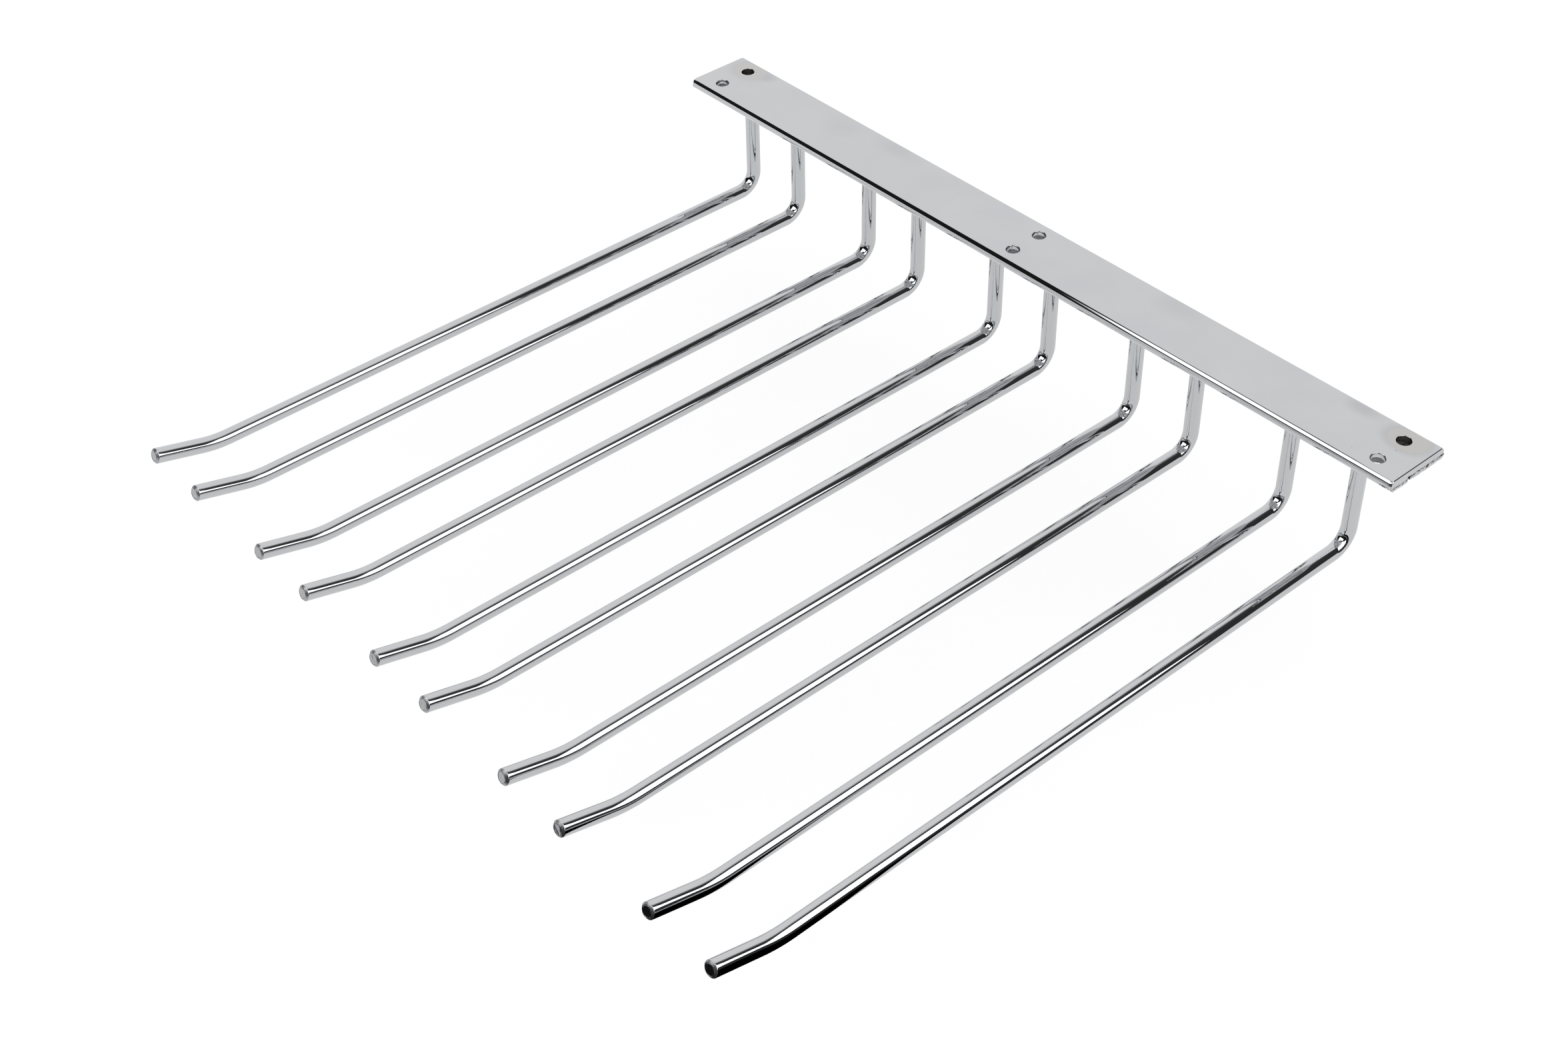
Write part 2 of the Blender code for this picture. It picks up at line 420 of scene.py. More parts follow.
def bare_hole_steel_and_notch_shade(finish):
    """Steel that the plating hook covered, as the punch tore it and as rust darkened it.

    To the eye: nearly black and dull, with a few lighter worn places. In the right end's notch it is
    painted shade.
    """
    material, tree, shader = new_metal("unplated_steel_in_hanging_hole_and_notch_shade", 0.45)
    place = object_place(tree)
    # Scale and scratches about 0.9 mm wide
    scale = noise(tree, place, 1100.0, 3.0)
    worn = mapped(tree, scale, 0.42, 0.8)
    connect(tree, shader, {
        "Base Color": blend(tree, worn, linear(finish.bare_steel), linear(finish.torn_steel)),
        "Normal": relief(tree, scale, 0.04 * MM, 0.6)})
    return material


def thin_plate(name, dark, light, rough, depth, spread=1.0, tracks_per_metre=2800.0):
    """Nickel plate on a punched, sheared or turned surface, where the current was weak and chrome is thin.

    To the eye: a grey sheen over the tracks and pits that the tool tore, as deep as the depth. Dark turns
    into light over the spread, a share of the noise's range: a small one gives hard spots.
    """
    material, tree, shader = new_metal(name)
    place = object_place(tree)
    tracks = noise(tree, place, tracks_per_metre, 3.0)
    spots = mapped(tree, tracks, 0.5 - spread / 2, 0.5 + spread / 2)
    connect(tree, shader, {
        "Base Color": blend(tree, spots, linear(dark), linear(light)),
        "Roughness": mapped(tree, tracks, low=rough * 0.6, high=rough * 1.4),
        "Normal": relief(tree, tracks, depth, 0.7)})
    return material


# The mounting bar


# Steps over half a block round a hole, and over each third of the long edge's outline
HALF_STEPS = 48
EDGE_STEPS = 20
# Width of the narrow strips that hold the shading of the flat faces
HOLD = 0.03 * MM

# Outline of a long edge: degrees by which its normal has turned from straight up, and the radius there
# as a share of one of the three named radii
EDGE_RADII = (
    (8, "edge_shoulder", 0.6),
    (13, "edge_shoulder", 1.0),
    (29, "edge_shoulder", 1.0),
    (34, "edge_crown", 0.78),
    (58, "edge_crown", 0.78),
    (61, "edge_crown", 1.3),
    (67, "edge_crown", 1.3),
    (71, "edge_crown", 1.03),
    (136, "edge_crown", 1.03),
    (143, "edge_foot", 1.0),
)

# Punched holes: the direction in plan in which the burnished band is narrowest, its depth there and half
# of what it gains on the other side, as shares of the thickness
BURNISH_TURN, BURNISH_LEAST, BURNISH_GAIN = math.radians(132), 0.4, 0.2
LOWER_RIM, HOLE_FLARE, HOLE_FOOT_FLARE = 0.3 * MM, 0.1 * MM, 0.15 * MM
HOLE_TEAR, HOLE_TEAR_SIZE = 0.12 * MM, 0.7 * MM
# Scale that narrows a hanging hole from a share of its depth on, and the plating hook's nick in the left
# one: depth, direction and half width in radians, heights over which it starts and runs out
HANGING_TAPER, TAPER_START = 0.45 * MM, 0.35
HOOK_NICK, HOOK_TURN, HOOK_WIDTH, HOOK_START, HOOK_END = 0.3 * MM, 1.25, 0.16, 0.3 * MM, 2 * MM

# Sheared ends: shares of the named roll and corner radius, for the blunter left blade and the right one
LEFT_ROLL, LEFT_CORNER, RIGHT_CORNER = 1.4, 1.2, 0.15
CORNER_FADE = 6 * MM
# The left end's front corner bent down, and the right end's upper corners pulled in: how far, and within
# what distance along the bar and across it
BENT_DOWN, BENT_REACH = 0.6 * MM, 3.5 * MM
PULLED_IN, PULL_REACH, PULL_WIDTH = 0.5 * MM, 1.4 * MM, 2.2 * MM
# Distance over which what the blade tore fades away along the bar, and the left end's share of it
TEAR_REACH, LEFT_TEAR = 0.5 * MM, 0.5
# Break line as shares of the thickness, and where across the bar the right end's lower part starts
BREAK_LEFT, BREAK_RIGHT_GAIN, BREAK_FRONT_GAIN, BREAK_SHARPNESS = 0.48, 0.12, 0.14, 0.015
FRONT_PART, FRONT_STEP = -4.6 * MM, 0.15 * MM
# Ledge below the break line with its lumps, the notch in it, and the burr and smear under it
LEDGE, COARSE_LUMPS, COARSE_SIZE = 0.24 * MM, 0.17 * MM, 1.4 * MM
FINE_LUMPS, FINE_SIZE = 0.09 * MM, 0.6 * MM
NOTCH_PLACE, NOTCH_WIDTH, NOTCH_CUT = -4.9 * MM, 0.5 * MM, 0.8 * MM
BURR_PLACE, BURR_WIDTH = -7.2 * MM, 1.6 * MM
SMEAR_PLACE, SMEAR_LENGTH, SMEAR_START = 4 * MM, 2 * MM, 13.8 * MM

# Places of the bar's materials in its list
PLATED, UNPLATED_AND_NOTCH_SHADE, PUNCHED, SHEARED = range(4)


def along_bar(sizes):
    """Stations along the bar: close together at the ends, even across the holes, wide between them."""
    half = BAR_HIGH.x
    ease = 1 - np.sin(np.linspace(0, math.pi / 2, 9))
    hole_x = half - sizes.hole_to_end
    block = sizes.hole_row_spacing / 2
    spans = [
        np.linspace(-hole_x - block, -hole_x + block, HALF_STEPS + 1),
        np.linspace(-hole_x + block, -block, 16),
        np.linspace(-block, block, HALF_STEPS + 1),
        np.linspace(block, hole_x - block, 16),
        np.linspace(hole_x - block, hole_x + block, HALF_STEPS + 1),
    ]
    last = [
        np.concatenate([np.linspace(hole_x + block, half - roll - HOLD, 13), half - roll * ease])
        for roll in (sizes.end_roll, sizes.end_roll * LEFT_ROLL)]
    return [-last[1][::-1]] + spans + [last[0]]


def mill_edge(sizes, thickness):
    """Outline of a hot rolled long edge, from the top face round to the underside.

    The outward normal turns evenly from up to down while the radius follows the table of radii. The
    small steps are added up and scaled until the outline is as deep as the bar is thick. Returns the
    inset from the bar's side and the height of each point.
    """
    turn = np.linspace(0, math.pi, 3 * EDGE_STEPS + 1)
    degrees = [row[0] for row in EDGE_RADII]
    radii = [share * getattr(sizes, name) for _, name, share in EDGE_RADII]
    radius = np.interp(np.degrees(turn), degrees, radii)
    middle = (turn[1:] + turn[:-1]) / 2
    step = (radius[1:] + radius[:-1]) / 2 * turn[1]
    out = np.concatenate([[0], np.cumsum(step * np.cos(middle))])
    down = np.concatenate([[0], np.cumsum(step * np.sin(middle))])
    scale = thickness / down[-1]
    height = -down * scale
    height[-1] = -thickness
    return (out.max() - out) * scale, height


def end_cap(x, inset, height, y_all):
    """One end of the bar: columns across the width, each from the top outline to the bottom one.

    The outermost columns follow the middle third of the long edge's outline; what they bulge beyond a
    straight line fades away over the columns next to them.
    """
    k = EDGE_STEPS
    side = BAR_HIGH.y - inset
    flat = np.zeros_like(y_all)
    top = np.array([
        np.concatenate([-side[k::-1], y_all, side[:k + 1]]),
        np.concatenate([height[k::-1], flat, height[:k + 1]])])
    bottom = np.array([
        np.concatenate([-side[2 * k:], y_all, side[:2 * k - 1:-1]]),
        np.concatenate([height[2 * k:], flat + height[-1], height[:2 * k - 1:-1]])])
    share = np.linspace(0, 1, k + 1)[:, None]
    y, z = top[:, None] * (1 - share) + bottom[:, None] * share
    fade = np.clip(1 - np.arange(y.shape[1]) / k, 0, 1)
    bulge_y = side[k:2 * k + 1] - y[:, -1]
    bulge_z = height[k:2 * k + 1] - z[:, -1]
    y += bulge_y[:, None] * (fade[::-1] - fade)
    z += bulge_z[:, None] * (fade[::-1] + fade)
    return np.stack([np.full_like(z, x), y, z], axis=2)


def hole_patch(hx, hy, low, high, rim_radius, z):
    """Flat ring between a hole and the rectangle round it: straight lines from circle to rectangle.

    Its outer points are the rectangle's, evenly spaced on each side; the inner ones lie on the circle
    in the same directions.
    """
    sx = np.linspace(low[0], high[0], HALF_STEPS + 1)
    sy = np.linspace(low[1], high[1], HALF_STEPS + 1)
    outer = np.concatenate([
        np.stack([sx, np.full_like(sx, low[1])], 1)[:-1],
        np.stack([np.full_like(sy, high[0]), sy], 1)[:-1],
        np.stack([sx[::-1], np.full_like(sx, high[1])], 1)[:-1],
        np.stack([np.full_like(sy, low[0]), sy[::-1]], 1),
    ])
    turn = np.arctan2(outer[:, 1] - hy, outer[:, 0] - hx)
    circle = np.stack([np.cos(turn), np.sin(turn)], 1)
    inner = np.array([hx, hy]) + circle * rim_radius
    held = inner + circle * HOLD
    share = np.linspace(0, 1, 6)[:, None, None] ** 1.3
    ring = np.concatenate([inner[None], held[None] * (1 - share) + outer[None] * share])
    flat = np.concatenate([ring, np.full(ring.shape[:2] + (1,), z)], axis=2)
    return flat, turn


def tear_line(turn):
    """Share of the thickness down to which the punch burnished a hole.

    It is least at the back left and grows to the opposite side by one minus a cosine.
    """
    return BURNISH_LEAST + BURNISH_GAIN * (1 - np.cos(turn - BURNISH_TURN))


def hole_wall(hx, hy, turn, sizes, thickness, hanging):
    """Wall of a punched hole: quarter round at the top, burnished, then torn and a little wider below.

    A hanging hole narrows downwards instead, by a power of the depth, and the left one has a nick.
    """
    radius, rim = sizes.hole_diameter / 2, sizes.hole_rim
    taper = HANGING_TAPER if hanging else 0.0
    arc = np.linspace(0, math.pi / 2, 6)
    top_r = radius + rim * (1 - np.sin(arc))
    top_z = -rim * (1 - np.cos(arc))
    down = np.linspace(0, 1, 21)[1:-1]
    wall_z = -rim - (thickness - rim - HOLD * 4) * down
    tapered = np.clip((down - TAPER_START) / (1 - TAPER_START), 0, 1) ** 0.7
    wall_r = radius + HOLE_FLARE * down ** 2 - taper * tapered
    r = np.concatenate([top_r, wall_r, [radius + HOLE_FOOT_FLARE - taper, radius + LOWER_RIM]])
    z = np.concatenate([top_z, wall_z, [-thickness + HOLD, -thickness]])
    torn = lumps(turn[None, :] * radius, z[:, None], HOLE_TEAR_SIZE, 5) * HOLE_TEAR
    torn[:, -1] = torn[:, 0]
    deep = np.clip((-z[:, None] / thickness - tear_line(turn)[None, :]) * 8, 0, 1)
    deep[-1] = 0
    nick = bell(turn, HOOK_TURN, HOOK_WIDTH) * (HOOK_NICK if hanging and hx < 0 else 0.0)
    sunk = np.clip(-z / HOOK_START, 0, 1) * np.clip(1 + z / HOOK_END, 0, 1)
    radii = r[:, None] + torn * deep - nick[None, :] * sunk[:, None]
    x = hx + radii * np.cos(turn)[None, :]
    y = hy + radii * np.sin(turn)[None, :]
    return np.stack([x, y, np.broadcast_to(z[:, None], x.shape)], axis=2)


def break_line(y, right):
    """Share of the thickness at which a sheared end starts to be torn.

    It wanders by two noises. It lies lower on the right end, and lower again at that end's front part.
    """
    front = 1 / (1 + np.exp((y - FRONT_PART) / FRONT_STEP))
    wander = 0.05 * lumps(y + 0.4, 0 * y, 2.4 * MM, 11) + 0.03 * lumps(y + 0.1, 0 * y, 0.8 * MM, 17)
    return BREAK_LEFT + right * (BREAK_RIGHT_GAIN + BREAK_FRONT_GAIN * front) + wander


def from_end(x):
    """Which end a point belongs to, 1 for the right one, and its distance from there along the bar."""
    return np.where(x > 0, 1.0, 0.0), np.clip(BAR_HIGH.x - np.abs(x), 0, None)


def round_ends(x, y, z, sizes, thickness):
    """Moves the points near the bar's ends as the blade pressed them, before it tore.

    The corners are rounded in plan by a quarter circle and the top edge sinks along another. One corner
    is bent down and two are pulled in, by the square of the nearness.
    """
    right, inside = from_end(x)
    depth = -z / thickness
    corner = sizes.corner_radius * np.where(x > 0, RIGHT_CORNER, LEFT_CORNER)
    past = np.clip(np.abs(y) - BAR_HIGH.y + corner, 0, corner)
    cut = corner - np.sqrt(corner ** 2 - past ** 2)
    roll = sizes.end_roll * np.where(x > 0, 1.0, LEFT_ROLL)
    x = x - np.sign(x) * cut * np.clip(1 - inside / CORNER_FADE, 0, 1)
    sink = roll - np.sqrt(np.clip(roll ** 2 - np.clip(roll - inside, 0, None) ** 2, 0, None))
    z = -thickness + (z + thickness) * (1 - sink / thickness)
    away = np.hypot(inside, y + BAR_HIGH.y)
    bent = (1 - right) * BENT_DOWN * np.clip(1 - away / BENT_REACH, 0, 1) ** 2
    z = z - bent * np.clip(1 - depth, 0, 1)
    outer = np.clip((np.abs(y) - BAR_HIGH.y) / PULL_WIDTH + 1, 0, 1) ** 2
    pulled = right * PULLED_IN * np.clip(1 - inside / PULL_REACH, 0, 1) ** 2
    y = y - np.sign(y) * pulled * outer * np.clip(1.1 - depth, 0, 1)
    return x, y, z


def shear_ends(points, sizes, thickness):
    """Moves the points near the bar's ends as a shear does.

    Below a break line the end face steps outwards and is torn in lumps, with a notch in the right end.
    A ragged burr hangs from the bottom edge, longest beside the notch and at the front corner. All of
    it fades away along the bar.
    """
    x, y, z = points[..., 0].copy(), points[..., 1].copy(), points[..., 2].copy()
    side = np.sign(x)
    right, inside = from_end(x)
    share = LEFT_TEAR + (1 - LEFT_TEAR) * right
    depth = -z / thickness
    near = np.exp(-inside / TEAR_REACH)
    x, y, z = round_ends(x, y, z, sizes, thickness)
    torn = 1 / (1 + np.exp(-(depth - break_line(y, right)) / BREAK_SHARPNESS))
    ledge = LEDGE + COARSE_LUMPS * lumps(y + 0.3, z, COARSE_SIZE, 12)
    ledge = ledge + FINE_LUMPS * lumps(y + 0.7, z, FINE_SIZE, 13)
    x = x + side * near * torn * share * ledge
    notch = right * bell(y, NOTCH_PLACE, NOTCH_WIDTH) * near * np.clip((depth - 0.5) / 0.12, 0, 1)
    x = x - notch * NOTCH_CUT
    bottom = np.clip((depth - 0.8) / 0.2, 0, 1)
    ragged = np.clip(lumps(y + 0.9, 0 * y, 1.8 * MM, 14) + 0.5 * lumps(y, 0 * y, 0.7 * MM, 15), 0, 1)
    hang = 0.2 + 0.5 * ragged + right * bell(y, BURR_PLACE, BURR_WIDTH)
    z = z - near * bottom * sizes.end_burr * hang * share
    smeared = bell(inside, SMEAR_PLACE, SMEAR_LENGTH) * np.clip((-y - SMEAR_START) / MM, 0, 1)
    smeared = smeared * bottom * right
    z = z - smeared * sizes.end_burr * (0.5 + 0.3 * lumps(x, 0 * y, 0.9 * MM, 16))
    return np.stack([x, y, z], axis=-1)


def bar_patches(sizes):
    """The bar's flat faces, long edges and ends as grids of points, and its thickness.

    Between them come the holes' walls, each with whether the rack hung from it.
    """
    thickness = BAR_HIGH.z - BAR_LOW.z
    inset, height = mill_edge(sizes, thickness)
    flat = BAR_HIGH.y - max(inset[0], inset[-1]) - HOLD
    rows = sizes.hole_row_spacing / 2
    spans = along_bar(sizes)
    stations = np.concatenate([spans[0]] + [s[1:] for s in spans[1:]])
    y_half = np.linspace(0, flat, HALF_STEPS + 1)
    y_all = np.concatenate([-y_half[::-1], y_half[1:]])
    skins, walls = [], []
    for z, upper in ((0.0, True), (-thickness, False)):
        for number, span in enumerate(spans):
            if number in (1, 3, 5):
                middle = (span[0] + span[-1]) / 2
                for sign in (-1, 1):
                    low = (span[0], min(sign * flat, 0.0))
                    high = (span[-1], max(sign * flat, 0.0))
                    hanging = sign > 0 and number != 3
                    rim = sizes.hole_diameter / 2 + (sizes.hole_rim if upper else LOWER_RIM)
                    ring, turn = hole_patch(middle, sign * rows, low, high, rim, z)
                    skins.append(ring)
                    if upper:
                        wall = hole_wall(middle, sign * rows, turn, sizes, thickness, hanging)
                        walls.append((wall, hanging))
            else:
                gx, gy = np.meshgrid(span, y_all, indexing="ij")
                skins.append(np.stack([gx, gy, np.full_like(gx, z)], axis=2))
    # Long edges, with a thin strip of each flat face to hold the shading
    outline_y = np.concatenate([[flat], BAR_HIGH.y - inset, [flat]])
    outline_z = np.concatenate([[0.0], height, [-thickness]])
    for sign in (-1, 1):
        x = np.broadcast_to(stations[:, None], (len(stations), len(outline_y)))
        y = np.broadcast_to(sign * outline_y, x.shape)
        z = np.broadcast_to(outline_z, x.shape)
        skins.append(np.stack([x, y, z], axis=2))
    for end in (-1, 1):
        skins.append(end_cap(end * BAR_HIGH.x, inset, height, y_all))
    return skins, walls, thickness


def pick_bar_finishes(mesh, walls, sizes, thickness):
    """Material of each face of the bar, as its place in the bar's list.

    A hanging hole's wall is unplated, another's is thin plate below its tear line, its darkness partly
    painted shade, and the ends are rough in a band below the break line, with freckles under its front
    part; their hard dark spots are painted glints. The right end's notch takes the unplated steel as
    painted shade.
    """
    centres = np.array([p.center[:] for p in mesh.polygons])
    normals = np.array([p.normal[:] for p in mesh.polygons])
    x, y, z = centres.T
    depth = -z / thickness
    inside_z = (depth > 0.06) & (depth < 0.995)
    picked = np.full(len(centres), PLATED)
    for wall, hanging in walls:
        out = centres[:, :2] - wall[0, :-1].mean(0)[:2]
        near = np.hypot(*out.T) < sizes.hole_diameter / 2 + LOWER_RIM
        if hanging:
            picked[near & inside_z] = UNPLATED_AND_NOTCH_SHADE
        else:
            rough = depth > tear_line(np.arctan2(out[:, 1], out[:, 0]))
            picked[near & inside_z & rough] = PUNCHED
    right = x > 0
    front = right & (y < FRONT_PART)
    torn = (np.abs(x) > BAR_HIGH.x - TEAR_REACH) & (np.abs(normals[:, 0]) > 0.3)
    below = depth - break_line(y, right)
    picked[torn & (below > 0) & (below < np.where(front, 0.05, 0.2))] = SHEARED
    # Painted glints: dark freckles under the front part of the right end
    freckle = lumps(y + 0.2, z, 0.9 * MM, 18) > 0.45
    picked[torn & front & freckle & (depth > 0.62)] = SHEARED
    # Painted shade: the faces of the right end's notch take the dark unplated steel
    notch = right & (np.abs(y - NOTCH_PLACE) < 1.5 * NOTCH_WIDTH) & (depth > 0.55) & (depth < 0.95)
    picked[torn & notch] = UNPLATED_AND_NOTCH_SHADE
    return picked


class RACK_OT_bar(bpy.types.Operator):
    """Builds the plated flat bar with its rounded long edges, sheared ends and six screw holes."""

    bl_idname = "rack.bar"
    bl_label = "Mounting bar"

    def execute(self, context):
        sizes, finish, _ = settings()
        skins, walls, thickness = bar_patches(sizes)
        grids = [shear_ends(skin, sizes, thickness) for skin in skins] + [wall for wall, _ in walls]
        bar = closed_mesh("plated_bar", [(grid, None) for grid in grids], chrome_on_bar(finish), sharp=50)
        bar.data.materials.append(bare_hole_steel_and_notch_shade(finish))
        # Punched holes: thin dull plate, its dark colour partly painted shade for the shadowed floor under
        # the bar that the walls mirror
        bar.data.materials.append(thin_plate(
            "thin_plate_and_painted_shade_in_punched_hole", finish.torn_steel, finish.thin_plate, 0.22, 0.10 * MM))
        # Sheared ends: the hard dark spots in this bright plate are painted glints, the dark sparkle of
        # the torn facets
        bar.data.materials.append(thin_plate(
            "bright_plate_and_painted_glints_on_sheared_bar_end", finish.bare_steel, finish.chrome, 0.06, 0.25 * MM,
            spread=0.12, tracks_per_metre=1500.0))
        picked = pick_bar_finishes(bar.data, walls, sizes, thickness)
        bar.data.polygons.foreach_set("material_index", picked)
        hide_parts("mounting_bar")
        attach(bar, "root")
        return {"FINISHED"}


# The rods


ROD_SIDES = 64
# Elbow's inner side: the dent and the creases beside it, with place and half length in degrees below
# the horizontal, and the size of a crease
DENT_DEPTH, DENT_PLACE, DENT_LENGTH = 0.3 * MM, 46, 18
CREASE_DEPTH, CREASE_PLACE, CREASE_LENGTH, CREASE_SIZE = 0.03 * MM, 27, 13, 0.8 * MM
# Chamfer of a tip: its slope, the radius of its shoulder, length of its straight part and radius of its
# rim as shares of its size, and the depth across the rod to which these three add up
CHAMFER_SLOPE = math.radians(50)
SHOULDER_SHARE, CONE_SHARE, RIM_SHARE, CHAMFER_SHARE = 0.4, 0.7, 0.25, 0.84
CHAMFER_STEPS, FACE_STEPS = 5, 10
# Groove beside the chamfer, as distances from the face's edge, and where the flat face and its plate begin
GROOVE_PLACES, GROOVE_DEPTH = (0.05 * MM, 0.16 * MM, 0.27 * MM), 0.12 * MM
FACE_START, FACE_MARGIN = 0.4 * MM, 0.12 * MM
# How far the end face is askew and its edge uneven, and the height of its lumps and its step
ASKEW, EDGE_UNEVEN, FACE_LUMPS, FACE_STEP = 0.10 * MM, 0.05 * MM, 0.05 * MM, 0.04 * MM

# Places of a rod's materials in its list
ROD_PLATED, ROD_FACE, ROD_CHAMFER = range(3)


def rod_centre_line(sizes, top, run_height, end):
    """Centre line of a rod in its own plane, as stations (y, z) and heading angle.

    A straight drop, a quarter circle, a straight run, a shallow arc and a straight tip up to the given
    distance from its end. The heading is the angle below the horizontal, turning from 90 degrees at the
    drop to minus the tip's rise.
    """
    elbow, bend, rise = sizes.elbow_radius, sizes.tip_bend_radius, sizes.tip_rise
    tangent = bend * math.tan(rise / 2)
    drop = np.linspace(top, run_height + elbow, 12)
    turn = np.linspace(0, math.pi / 2, 65)[1:]
    run = np.linspace(-elbow, -sizes.rod_reach + tangent, 40)[1:]
    lift = np.linspace(0, rise, 17)[1:]
    tip = np.linspace(tangent, sizes.tip_length - end, 8)[1:]
    y = np.concatenate([
        np.zeros(len(drop)), -elbow + elbow * np.cos(turn), run,
        -sizes.rod_reach + tangent - bend * np.sin(lift),
        -sizes.rod_reach - tip * math.cos(rise)])
    z = np.concatenate([
        drop, run_height + elbow - elbow * np.sin(turn), np.full(len(run), run_height),
        run_height + bend * (1 - np.cos(lift)),
        run_height + tip * math.sin(rise)])
    heading = np.concatenate([
        np.full(len(drop), math.pi / 2), math.pi / 2 - turn, np.zeros(len(run)), -lift,
        np.full(len(tip), -rise)])
    return y, z, heading


def tip_profile(sizes, radius):
    """Outline of a rod's end: distance along the tip, radius, and how far each point is on the chamfer.

    A rounded shoulder, a straight chamfer, a tight rim, a shallow groove where the chamfering tool turned
    its burr over, and the flat end face. The last value runs from 0 before the chamfer to 1 past it, and
    back to 0 at the middle of the end face.
    """
    size = sizes.tip_chamfer / CHAMFER_SHARE
    sine, cosine = math.sin(CHAMFER_SLOPE), math.cos(CHAMFER_SLOPE)
    shoulder = np.linspace(0, CHAMFER_SLOPE, CHAMFER_STEPS + 1)[1:]
    cone = np.linspace(0, CONE_SHARE, CHAMFER_STEPS + 1)[1:]
    rim = np.linspace(CHAMFER_SLOPE, math.pi / 2, CHAMFER_STEPS + 1)[1:]
    start = SHOULDER_SHARE * sine, SHOULDER_SHARE * (1 - cosine)
    stop = start[0] + CONE_SHARE * cosine, start[1] + CONE_SHARE * sine
    along = size * np.concatenate([
        SHOULDER_SHARE * np.sin(shoulder), start[0] + cone * cosine,
        stop[0] + RIM_SHARE * (np.sin(rim) - sine)])
    shrink = size * np.concatenate([
        SHOULDER_SHARE * (1 - np.cos(shoulder)), start[1] + cone * sine,
        stop[1] + RIM_SHARE * (cosine - np.cos(rim))])
    edge = radius - shrink[-1]
    face = np.concatenate([edge - np.array(GROOVE_PLACES), np.linspace(edge - FACE_START, 0, FACE_STEPS)])
    sunk = np.concatenate([[0.0, GROOVE_DEPTH], np.zeros(len(face) - 2)])
    share = np.concatenate([
        np.zeros(CHAMFER_STEPS), cone / CONE_SHARE, np.ones(CHAMFER_STEPS), face / edge])
    return (np.concatenate([along, along[-1] - sunk]),
            np.concatenate([radius - shrink, face]), share)


def elbow_marks(heading, length, around, radius, seed):
    """How far the bending tool pushed out an elbow's skin: a dent and shallow creases on its inner side.

    Both are bells over the heading times the square of how far a point faces inwards. The creases are
    noise, and deeper on the rod's left.
    """
    degrees = np.degrees(heading)[:, None]
    inner = np.clip(np.sin(around), 0, 1)[None, :] ** 2
    crease = lumps(length[:, None], (around * radius)[None, :], CREASE_SIZE, 90 + seed)
    crease = crease * (0.65 - 0.35 * np.cos(around)) * bell(degrees, CREASE_PLACE, CREASE_LENGTH)
    return (CREASE_DEPTH * crease - DENT_DEPTH * bell(degrees, DENT_PLACE, DENT_LENGTH)) * inner


def rod_grid(sizes, x0, top, run_height, radius, seed):
    """A rod's skin: a circle carried along the centre line, with a pole at the top and at the tip.

    The end face is a little askew, so the chamfer is wider on one side, and it has lumps and a step, as
    the cropping shear left it.
    """
    along, tip_r, share = tip_profile(sizes, radius)
    depth = along[-1]
    y, z, heading = rod_centre_line(sizes, top, run_height, depth + HOLD)
    rise = sizes.tip_rise
    reach = sizes.tip_length - depth + along
    y = np.concatenate([[y[0]], y, -sizes.rod_reach - reach * math.cos(rise)])
    z = np.concatenate([[z[0]], z, run_height + reach * math.sin(rise)])
    heading = np.concatenate([[heading[0]], heading, np.full(len(reach), -rise)])
    r = np.concatenate([[0.0], np.full(len(y) - len(reach) - 1, radius), tip_r])
    share = np.concatenate([np.zeros(len(y) - len(reach)), share])
    around = np.linspace(0, 2 * math.pi, ROD_SIDES + 1)
    across, up = np.cos(around), np.sin(around)
    length = np.concatenate([[0], np.cumsum(np.hypot(np.diff(y), np.diff(z)))])
    marks = elbow_marks(heading, length, around, radius, seed)
    # The end plane's tilt and its uneven edge, which move the rim along the chamfer
    nick = lumps(4 * MM * across, 4 * MM * up, 1.6 * MM, 50 + seed)
    askew = ASKEW * np.cos(around - 2.1 * seed) + EDGE_UNEVEN * nick
    moved = share[:, None] * askew[None, :]
    narrower = 1 - moved * math.tan(CHAMFER_SLOPE) / (radius - sizes.tip_chamfer)
    wide = (r[:, None] + marks * (r[:, None] > 0)) * narrower
    u, v = wide * across[None, :], wide * up[None, :]
    # Lumps and a step on the end face, as distance along the tip's axis
    on_end = np.arange(len(r)) >= len(r) - FACE_STEPS - len(GROOVE_PLACES)
    on_face = np.clip((radius - r) / radius - 0.3, 0, 1) * on_end
    worn = lumps(u + 0.05 * seed, v + 0.3, 1.3 * MM, 30 + seed) * FACE_LUMPS
    worn = worn + FACE_STEP * np.tanh((u * math.cos(seed) + v * math.sin(seed)) / (0.15 * MM))
    worn = worn * np.clip(on_face * 6, 0, 1)[:, None] + moved
    normal_y, normal_z = -np.sin(heading)[:, None], np.cos(heading)[:, None]
    py = y[:, None] + v * normal_y - worn * np.cos(heading)[:, None]
    pz = z[:, None] + v * normal_z - worn * np.sin(heading)[:, None]
    points = np.stack([x0 + u, py, pz], axis=2)
    points[:, -1] = points[:, 0]
    uv = np.stack(np.broadcast_arrays(length[:, None], (around * radius)[None, :]), axis=2)
    return points, uv


def pick_rod_finishes(mesh, sizes, radius, tip):
    """Material of each face of a rod: the end face and the chamfer differ from the rest."""
    axis = np.array([0, -math.cos(sizes.tip_rise), math.sin(sizes.tip_rise)])
    normals = np.array([p.normal[:] for p in mesh.polygons])
    centres = np.array([p.center[:] for p in mesh.polygons])
    ends = (normals @ axis > 0.45) & (centres[:, 1] < -sizes.rod_reach)
    off = np.linalg.norm(np.cross(centres - tip, axis), axis=1)
    face = off < radius - sizes.tip_chamfer - FACE_MARGIN
    return np.where(ends, np.where(face, ROD_FACE, ROD_CHAMFER), ROD_PLATED)


